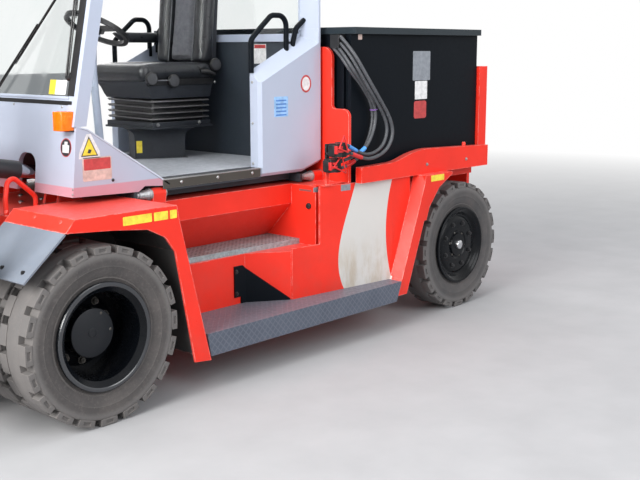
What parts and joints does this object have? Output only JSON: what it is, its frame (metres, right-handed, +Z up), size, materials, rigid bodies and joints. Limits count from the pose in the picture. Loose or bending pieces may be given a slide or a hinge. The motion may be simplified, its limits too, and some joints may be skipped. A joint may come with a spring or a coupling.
{
  "type": "forklift truck",
  "caption": "Heavy electric counterbalance forklift truck with twin front wheels, open-sided cab, two-stage mast and forks.",
  "frame": {"origin": "centre of the overall box at ground level", "axes": "+X forward to the forks, +Y to the left side, +Z up"},
  "size_m": [5.35, 2.05, 2.895],
  "materials": {
    "body_paint": "satin orange-red paint, dusty",
    "cab_paint": "satin light grey paint",
    "battery_paint": "black paint on steel",
    "rim_paint": "black paint, dusty",
    "mast_paint": "dark grey paint",
    "step_steel": "slate blue paint, worn",
    "galvanised": "galvanised steel",
    "cast": "cast, dark",
    "chrome": "hard chrome",
    "tyre": "solid rubber, dusty",
    "rubber": "grey rubber",
    "interior": "dark blue-grey plastic",
    "fabric": "dark seat cloth",
    "glass": "clear glass",
    "lamp": "amber lens",
    "black_plastic": "black plastic",
    "cable": "grey cable jacket"
  },
  "bodies": {
    "chassis": {"chassis_frame": "body_paint", "front_fenders": "body_paint", "front_flaps": "step_steel", "side_panels": "body_paint", "lower_steps": "step_steel", "upper_steps": "galvanised", "battery_box": "battery_paint", "battery_gates": "body_paint", "bulkhead": "body_paint", "rear_slab": "body_paint", "counterweight": "body_paint", "drive_axle": "cast", "mast_arms": "cast", "steer_axle": "cast", "step_brackets": "battery_paint", "handrails": "battery_paint", "indicators": "lamp", "battery_connectors": "black_plastic", "cable_1": "cable", "cable_2": "cable", "cable_3": "cable", "cable_4": "cable", "cab_floor": "interior", "cab_mounts": "rubber", "cab_front": "cab_paint", "cab_guard": "cab_paint", "windscreen": "glass", "rear_window": "glass", "cab_rear_wall": "interior", "side_cabinets": "cab_paint", "seat_base": "interior", "seat_cushion": "fabric", "seat_back": "fabric", "steering_column": "interior"},
    "battery_lid": {"battery_lid": "battery_paint"},
    "hand_wheel": {"hand_wheel": "black_plastic"},
    "front_wheel_left": {"front_tyres_left": "tyre", "front_rim_left": "rim_paint"},
    "front_wheel_right": {"front_tyres_right": "tyre", "front_rim_right": "rim_paint"},
    "knuckle_left": {"steering_knuckle_left": "cast"},
    "knuckle_right": {"steering_knuckle_right": "cast"},
    "rear_wheel_left": {"rear_tyre_left": "tyre", "rear_rim_left": "rim_paint"},
    "rear_wheel_right": {"rear_tyre_right": "tyre", "rear_rim_right": "rim_paint"},
    "mast_outer": {"mast_outer": "mast_paint", "lift_barrels": "mast_paint", "chains_rear": "cast"},
    "mast_inner": {"mast_inner": "mast_paint", "lift_rods": "chrome", "sheaves": "cast"},
    "carriage": {"carriage": "mast_paint", "forks": "mast_paint", "chains_front": "cast"},
    "tilt_barrel_left": {"tilt_barrel_left": "mast_paint"},
    "tilt_barrel_right": {"tilt_barrel_right": "mast_paint"},
    "tilt_rod_left": {"tilt_rod_left": "chrome"},
    "tilt_rod_right": {"tilt_rod_right": "chrome"}
  },
  "joints": [
    {"name": "front_wheel_left_turn", "type": "hinge", "parent": "chassis", "child": "front_wheel_left", "pos_m": [0.825, 0.8, 0.415], "axis": [0, 1, 0], "continuous": true},
    {"name": "steer_left", "type": "hinge", "parent": "chassis", "child": "knuckle_left", "pos_m": [-2.065, 0.64, 0.415], "axis": [0, 0, 1], "range_deg": [-70, 70]},
    {"name": "rear_wheel_left_turn", "type": "hinge", "parent": "knuckle_left", "child": "rear_wheel_left", "pos_m": [-2.065, 0.851, 0.415], "axis": [0, 1, 0], "continuous": true},
    {"name": "front_wheel_right_turn", "type": "hinge", "parent": "chassis", "child": "front_wheel_right", "pos_m": [0.825, -0.8, 0.415], "axis": [0, 1, 0], "continuous": true},
    {"name": "steer_right", "type": "hinge", "parent": "chassis", "child": "knuckle_right", "pos_m": [-2.065, -0.64, 0.415], "axis": [0, 0, 1], "range_deg": [-70, 70]},
    {"name": "rear_wheel_right_turn", "type": "hinge", "parent": "knuckle_right", "child": "rear_wheel_right", "pos_m": [-2.065, -0.851, 0.415], "axis": [0, 1, 0], "continuous": true},
    {"name": "mast_tilt", "type": "hinge", "parent": "chassis", "child": "mast_outer", "pos_m": [1.125, 0, 0.33], "axis": [0, -1, 0], "range_deg": [-5, 8]},
    {"name": "mast_lift", "type": "slide", "parent": "mast_outer", "child": "mast_inner", "axis": [0, 0, 1], "range_m": [0, 1.7], "deforming": ["chains_rear"]},
    {"name": "carriage_lift", "type": "slide", "parent": "mast_inner", "child": "carriage", "axis": [0, 0, 1], "range_m": [0, 1.7], "deforming": ["chains_front"]},
    {"name": "tilt_barrel_left_swing", "type": "hinge", "parent": "mast_outer", "child": "tilt_barrel_left", "pos_m": [1.065, 0.3, 1.15722], "axis": [0, -1, 0], "range_deg": [-7.2, 4.5]},
    {"name": "tilt_rod_left_slide", "type": "slide", "parent": "tilt_barrel_left", "child": "tilt_rod_left", "axis": [-0.9848, 0, -0.1736], "range_m": [-0.118, 0.074]},
    {"name": "tilt_barrel_right_swing", "type": "hinge", "parent": "mast_outer", "child": "tilt_barrel_right", "pos_m": [1.065, -0.3, 1.15722], "axis": [0, -1, 0], "range_deg": [-7.2, 4.5]},
    {"name": "tilt_rod_right_slide", "type": "slide", "parent": "tilt_barrel_right", "child": "tilt_rod_right", "axis": [-0.9848, 0, -0.1736], "range_m": [-0.118, 0.074]},
    {"name": "battery_lid_open", "type": "hinge", "parent": "chassis", "child": "battery_lid", "pos_m": [-2.34, 0, 1.7703], "axis": [0, -1, 0], "range_deg": [0, 95]},
    {"name": "hand_wheel_turn", "type": "hinge", "parent": "chassis", "child": "hand_wheel", "pos_m": [-0.105, -0.25, 1.79], "axis": [-0.4695, 0, 0.8829], "continuous": true}
  ],
  "couplings": [
    {"joint": "steer_right", "follows": "steer_left", "ratio": 1},
    {"joint": "carriage_lift", "follows": "mast_lift", "ratio": 1},
    {"joint": "tilt_barrel_left_swing", "follows": "mast_tilt", "ratio": -0.88},
    {"joint": "tilt_rod_left_slide", "follows": "mast_tilt", "m_per_rad": -0.825},
    {"joint": "tilt_barrel_right_swing", "follows": "mast_tilt", "ratio": -0.88},
    {"joint": "tilt_rod_right_slide", "follows": "mast_tilt", "m_per_rad": -0.825}
  ]
}
